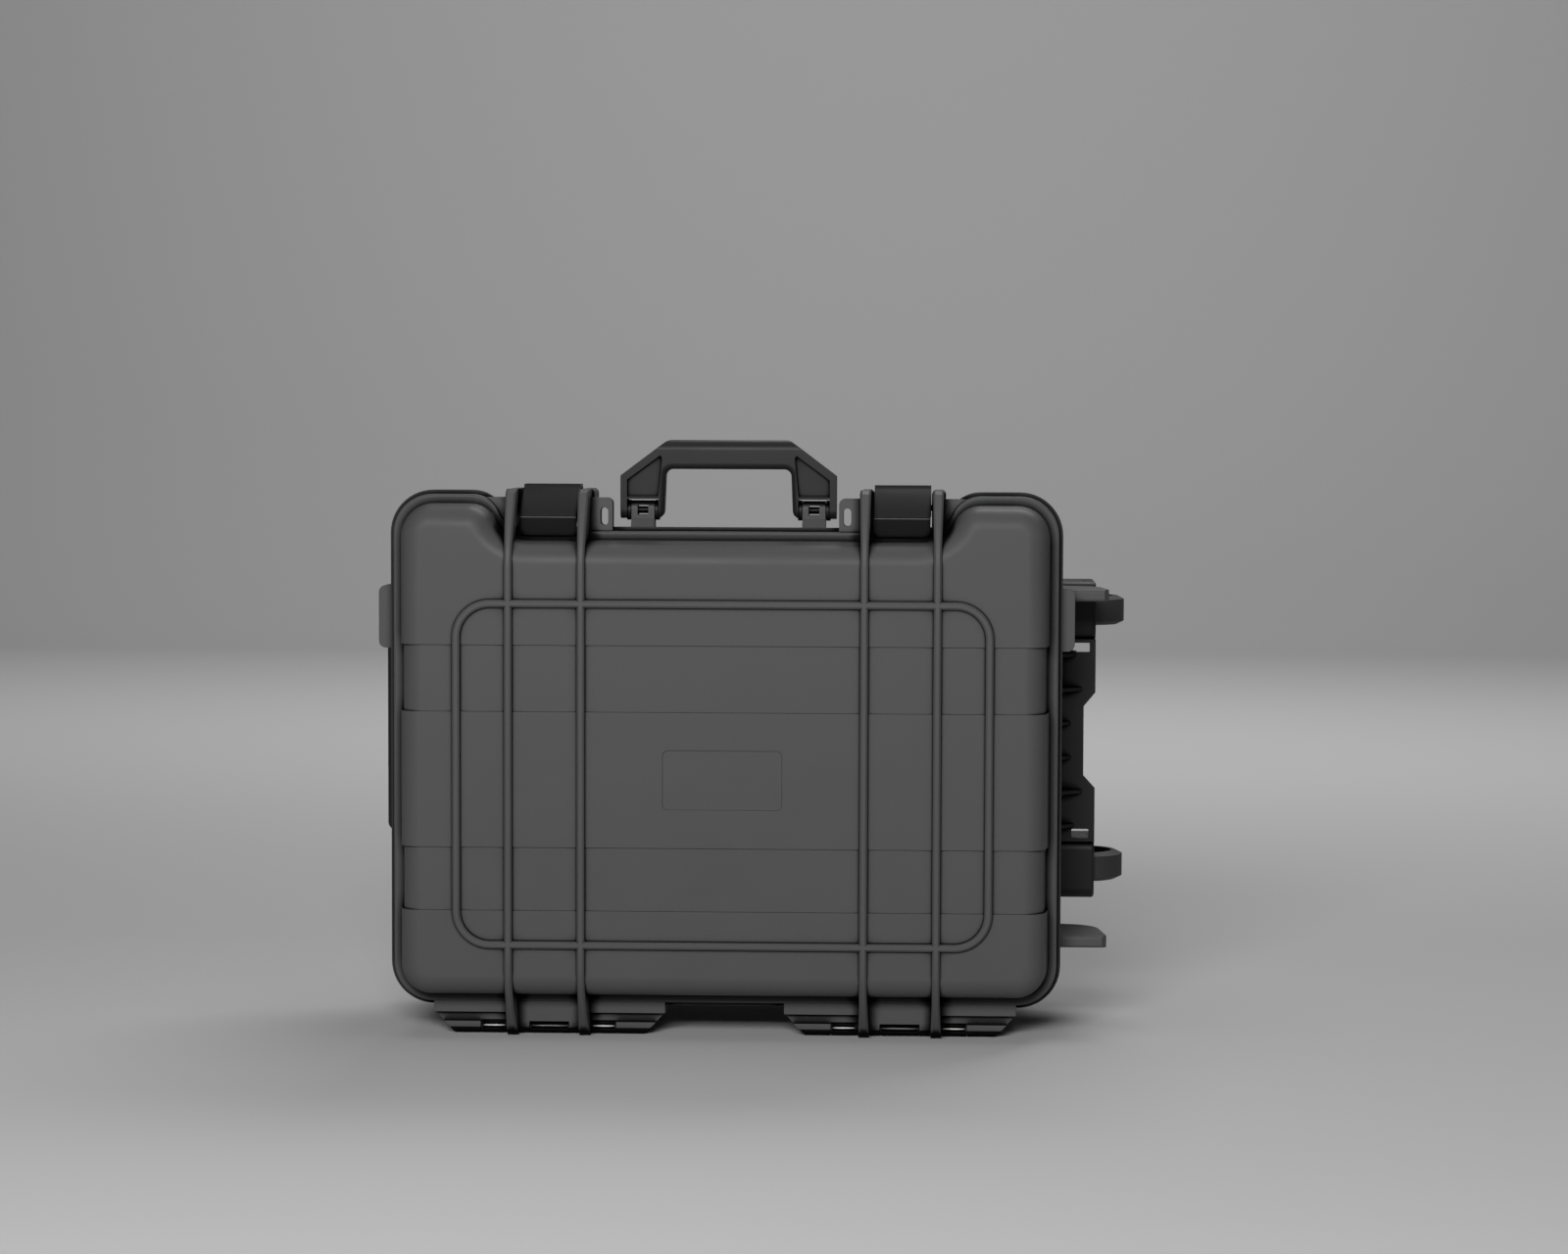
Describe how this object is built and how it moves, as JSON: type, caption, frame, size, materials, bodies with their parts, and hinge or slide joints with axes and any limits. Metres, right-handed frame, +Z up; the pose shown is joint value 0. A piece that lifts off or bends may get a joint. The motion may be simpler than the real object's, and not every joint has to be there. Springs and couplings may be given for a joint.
{
  "type": "wheeled protective case",
  "caption": "Ribbed moulded protective case with a hinged lid, hooked latches, a folding carry handle, two wheels and a pull-out trolley handle.",
  "frame": {"origin": "on the ground, under the middle of the whole case's box as it stands on its hinge side with the trolley pushed in", "axes": "+X along the case towards the wheel end, +Y from the lid towards the back of the base, +Z up towards the carry handle"},
  "size_m": [0.6492, 0.2576, 0.4984],
  "materials": {
    "case_plastic": "fine moulded texture, dark grey polypropylene",
    "latch_plastic": "satin black nylon",
    "handle_plastic": "satin dark grey moulded nylon",
    "carrier_plastic": "satin dark grey moulded polypropylene",
    "button_plastic": "satin black moulded plastic",
    "seal_rubber": "matte black foam rubber",
    "pin_steel": "ground stainless steel",
    "screw_steel": "zinc plated steel",
    "tube_aluminium": "satin anodised aluminium",
    "hub_plastic": "moulded nylon",
    "bush_nylon": "natural nylon",
    "wheel_tread": "matte polyurethane tread"
  },
  "bodies": {
    "base": {"base_shell": "case_plastic", "base_ribs": "case_plastic", "base_tabs": "case_plastic", "base_hinge_leaves": "case_plastic", "handle_lugs": "case_plastic", "standing_fins": "case_plastic", "hinge_pins": "pin_steel", "latch_pins": "pin_steel", "handle_pins": "pin_steel", "wheel_carrier": "carrier_plastic", "carrier_screws": "screw_steel", "lower_axle": "pin_steel", "upper_axle": "pin_steel", "trolley_outer_tubes": "tube_aluminium", "trolley_cover": "carrier_plastic", "trolley_bezel": "carrier_plastic", "trolley_saddles": "carrier_plastic", "pressure_valve": "button_plastic"},
    "lid": {"lid_shell": "case_plastic", "lid_ribs": "case_plastic", "lid_tabs": "case_plastic", "lid_hinge_leaves": "case_plastic", "lid_gasket": "seal_rubber"},
    "latch_left": {"latch_left": "latch_plastic"},
    "latch_right": {"latch_right": "latch_plastic"},
    "carry_handle": {"carry_handle": "handle_plastic"},
    "trolley_stage_1": {"trolley_middle_tubes": "tube_aluminium"},
    "trolley_stage_2": {"trolley_inner_tubes": "tube_aluminium", "trolley_grip": "handle_plastic"},
    "release_button": {"release_button": "button_plastic"},
    "lower_wheel": {"lower_wheel_hub": "hub_plastic", "lower_wheel_tyre": "wheel_tread", "lower_wheel_bush": "bush_nylon"},
    "upper_wheel": {"upper_wheel_hub": "hub_plastic", "upper_wheel_tyre": "wheel_tread", "upper_wheel_bush": "bush_nylon"}
  },
  "joints": [
    {"name": "lid_hinge", "type": "hinge", "parent": "base", "child": "lid", "pos_m": [-0.01365, -0.0802, 0.0059], "axis": [1, 0, 0], "range_deg": [0, 105]},
    {"name": "latch_left_pivot", "type": "hinge", "parent": "base", "child": "latch_left", "pos_m": [-0.16055, -0.0502, 0.4424], "axis": [-1, 0, 0], "range_deg": [-3, 110]},
    {"name": "latch_right_pivot", "type": "hinge", "parent": "base", "child": "latch_right", "pos_m": [0.13325, -0.0502, 0.4424], "axis": [-1, 0, 0], "range_deg": [-3, 110]},
    {"name": "handle_pivot", "type": "hinge", "parent": "base", "child": "carry_handle", "pos_m": [-0.01365, -0.0442, 0.4394], "axis": [-1, 0, 0], "range_deg": [0, 90]},
    {"name": "trolley_slide_1", "type": "slide", "parent": "base", "child": "trolley_stage_1", "axis": [-1, 0, 0], "range_m": [0, 0.3]},
    {"name": "trolley_slide_2", "type": "slide", "parent": "trolley_stage_1", "child": "trolley_stage_2", "axis": [-1, 0, 0], "range_m": [0, 0.28]},
    {"name": "button_press", "type": "slide", "parent": "trolley_stage_2", "child": "release_button", "axis": [1, 0, 0], "range_m": [0, 0.0035], "stiffness_N_per_m": 600, "springref_m": -0.002},
    {"name": "lower_wheel_spin", "type": "hinge", "parent": "base", "child": "lower_wheel", "pos_m": [0.29065, 0.0878, 0.1268], "axis": [0, 0, 1], "continuous": true},
    {"name": "upper_wheel_spin", "type": "hinge", "parent": "base", "child": "upper_wheel", "pos_m": [0.29065, 0.0878, 0.3508], "axis": [0, 0, 1], "continuous": true}
  ]
}
